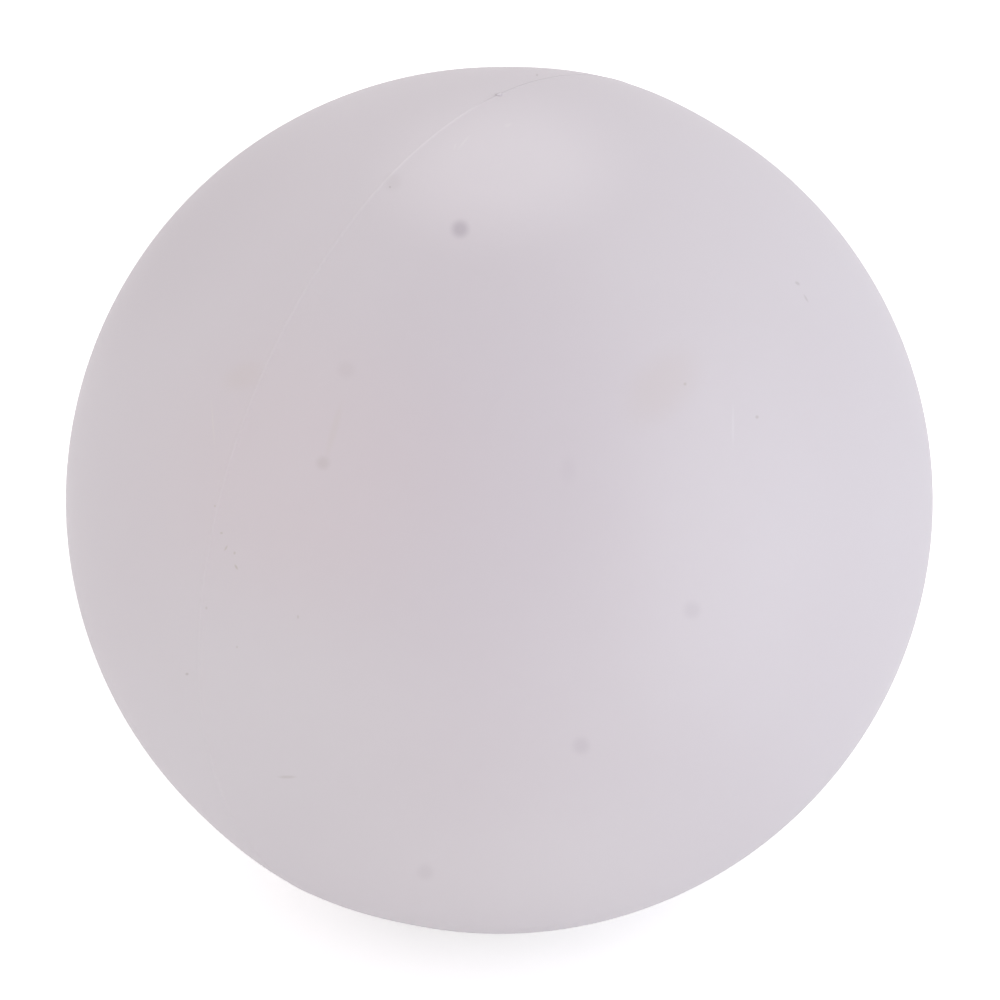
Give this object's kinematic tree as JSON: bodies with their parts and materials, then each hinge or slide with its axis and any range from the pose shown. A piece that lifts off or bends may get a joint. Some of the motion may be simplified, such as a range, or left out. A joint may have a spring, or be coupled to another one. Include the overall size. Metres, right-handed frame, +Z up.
{
  "type": "floating solar pool light",
  "caption": "Translucent ball light that floats, with a screw-in base holding a downward solar panel, power button, folding tether bail and a domed LED board.",
  "frame": {"origin": "centre of the ring of feet, on the surface that they stand on", "axes": "+Z up through the top of the ball; +Y towards the back, where the power button is; the picture looks along +Y from the front"},
  "size_m": [0.35, 0.3498, 0.352],
  "materials": {
    "ball_polyethylene": "satin, translucent",
    "collar_plastic": "satin",
    "base_plastic": "satin",
    "seal_silicone": "matte",
    "foot_rubber": "matte",
    "button_silicone": "matte",
    "window_polycarbonate": "clear, glossy",
    "solar_silicon": "glossy",
    "circuit_board": "satin",
    "white_board": "satin",
    "part_black": "satin",
    "holder_plastic": "satin",
    "cell_sleeve": "glossy",
    "foam_pad": "matte",
    "steel": "brushed",
    "led_plastic": "glossy",
    "dome_frosted": "frosted, translucent",
    "wire_red": "satin",
    "wire_black": "satin",
    "wire_green": "satin"
  },
  "bodies": {
    "base": {"base_housing": "base_plastic", "plug_o_ring": "seal_silicone", "bottom_cover": "base_plastic", "cover_seal": "seal_silicone", "cover_screws": "steel", "rubber_feet": "foot_rubber", "panel_window": "window_polycarbonate", "panel_seal": "seal_silicone", "solar_cells": "solar_silicon", "panel_board": "circuit_board", "button_seal": "seal_silicone", "tact_switch": "part_black", "control_board": "circuit_board", "board_parts": "part_black", "board_screws": "steel", "battery_cell": "cell_sleeve", "battery_holder": "holder_plastic", "holder_pad": "foam_pad", "battery_contacts": "steel", "led_board": "white_board", "led_chips": "led_plastic", "led_spacers": "collar_plastic", "led_board_screws": "steel", "led_dome": "dome_frosted", "dome_seal": "seal_silicone", "dome_screws": "steel", "wire_grommet": "seal_silicone", "panel_leads": "wire_red", "battery_leads": "wire_black", "led_leads": "wire_green"},
    "washer": {"neck_gasket": "seal_silicone"},
    "ball": {"globe_shell": "ball_polyethylene", "neck_collar": "collar_plastic"},
    "button": {"power_button": "button_silicone", "switch_plunger": "part_black"},
    "bail": {"tether_bail": "steel"}
  },
  "joints": [
    {"name": "ball_turn", "type": "hinge", "parent": "base", "child": "washer", "pos_m": [0, 0, 0.0087], "axis": [0, 0, 1], "range_deg": [0, 720]},
    {"name": "ball_climb", "type": "slide", "parent": "washer", "child": "ball", "axis": [0, 0, 1], "range_m": [0, 0.0801]},
    {"name": "button_press", "type": "slide", "parent": "base", "child": "button", "axis": [0, 0, 1], "range_m": [0, 0.0012], "stiffness_N_per_m": 1000},
    {"name": "bail_fold", "type": "hinge", "parent": "base", "child": "bail", "pos_m": [0, -0.032, 0.0046], "axis": [1, 0, 0], "range_deg": [0, 90]}
  ],
  "couplings": [
    {"joint": "ball_climb", "follows": "ball_turn", "m_per_rad": 0.0063662}
  ]
}
